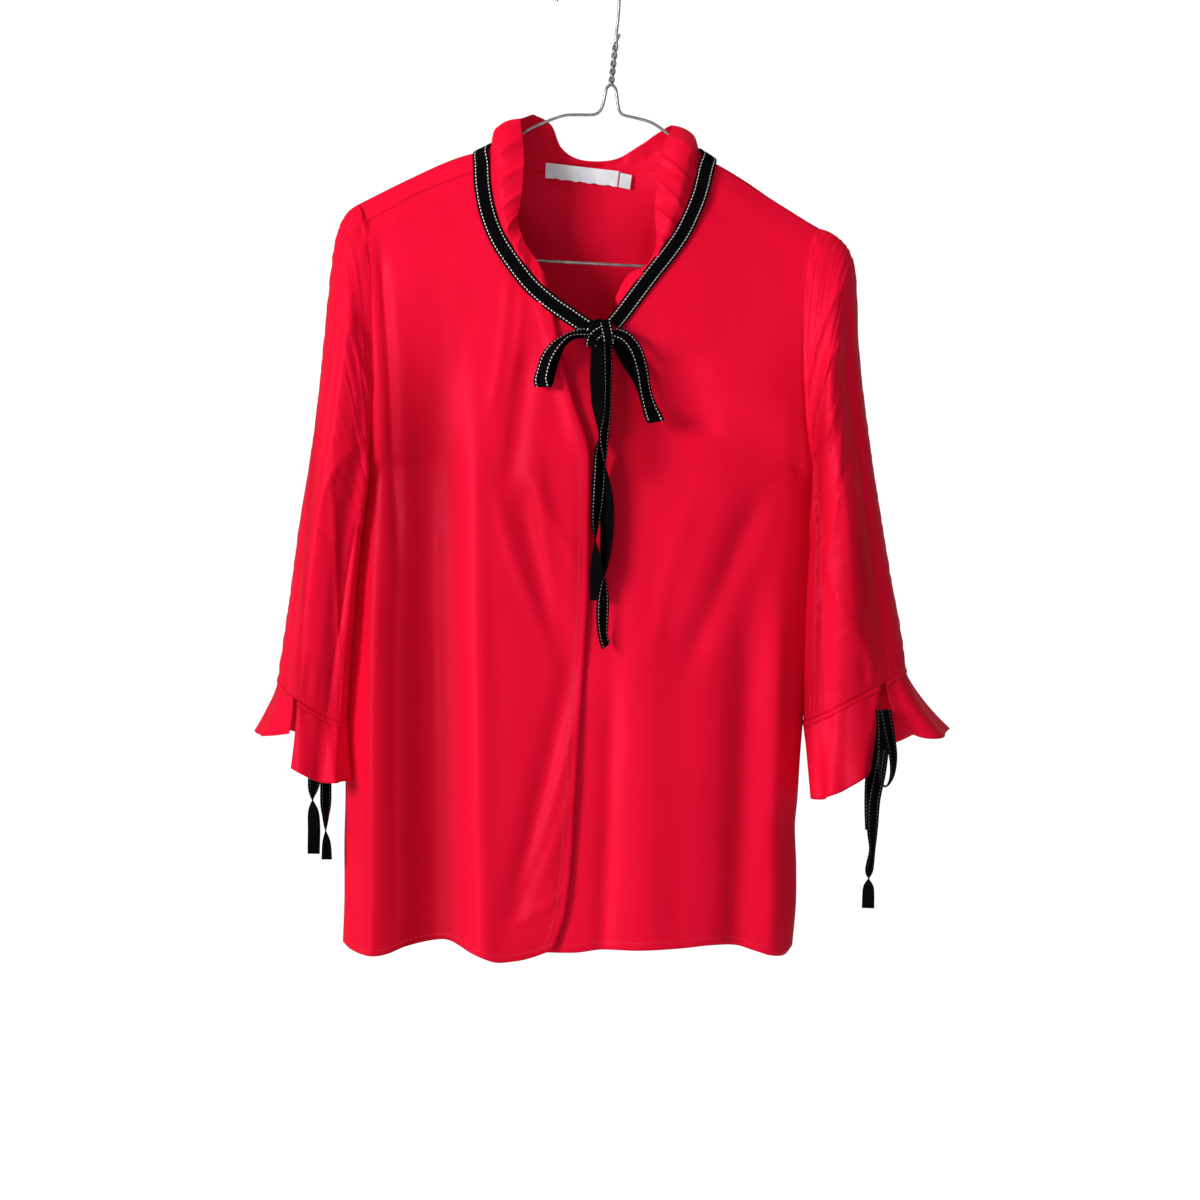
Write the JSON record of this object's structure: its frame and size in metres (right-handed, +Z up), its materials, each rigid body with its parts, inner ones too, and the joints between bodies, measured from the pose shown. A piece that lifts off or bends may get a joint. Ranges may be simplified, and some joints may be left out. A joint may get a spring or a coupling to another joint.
{
  "type": "tie neck blouse on wire hanger",
  "caption": "Lightweight blouse with a standing neck frill, ribbon tie neck, concealed front closing and three-quarter sleeves with frilled, tied cuffs, hung on a wire hanger.",
  "frame": {"origin": "top inside of the hanger's hook, where it rests on a rod", "axes": "+Z up, front of the garment towards -Y, wearer's left towards +X, the hanger in the XZ plane"},
  "size_m": [0.5589, 0.1211, 0.7977],
  "materials": {
    "satin": "red satin-faced weave, soft sheen",
    "ribbon": "black velvet ribbon",
    "steel": "galvanised wire",
    "label": "woven white tape, bare"
  },
  "bodies": {
    "root": {"hanger": "steel", "back": "satin", "front_right": "satin", "front_left": "satin", "neck_frill": "satin", "sleeve_right": "satin", "sleeve_left": "satin", "cuff_band_right": "satin", "cuff_band_left": "satin", "cuff_frill_right": "satin", "cuff_frill_left": "satin", "neck_tape": "ribbon", "bow_knot": "ribbon", "bow_loop_right": "ribbon", "bow_loop_left": "ribbon", "bow_tail_long": "ribbon", "bow_tail_short": "ribbon", "tie_right_front": "ribbon", "tie_right_back": "ribbon", "tie_left_long": "ribbon", "tie_left_short": "ribbon", "tie_left_loop": "ribbon", "label": "label", "size_tab": "label"}
  },
  "joints": []
}
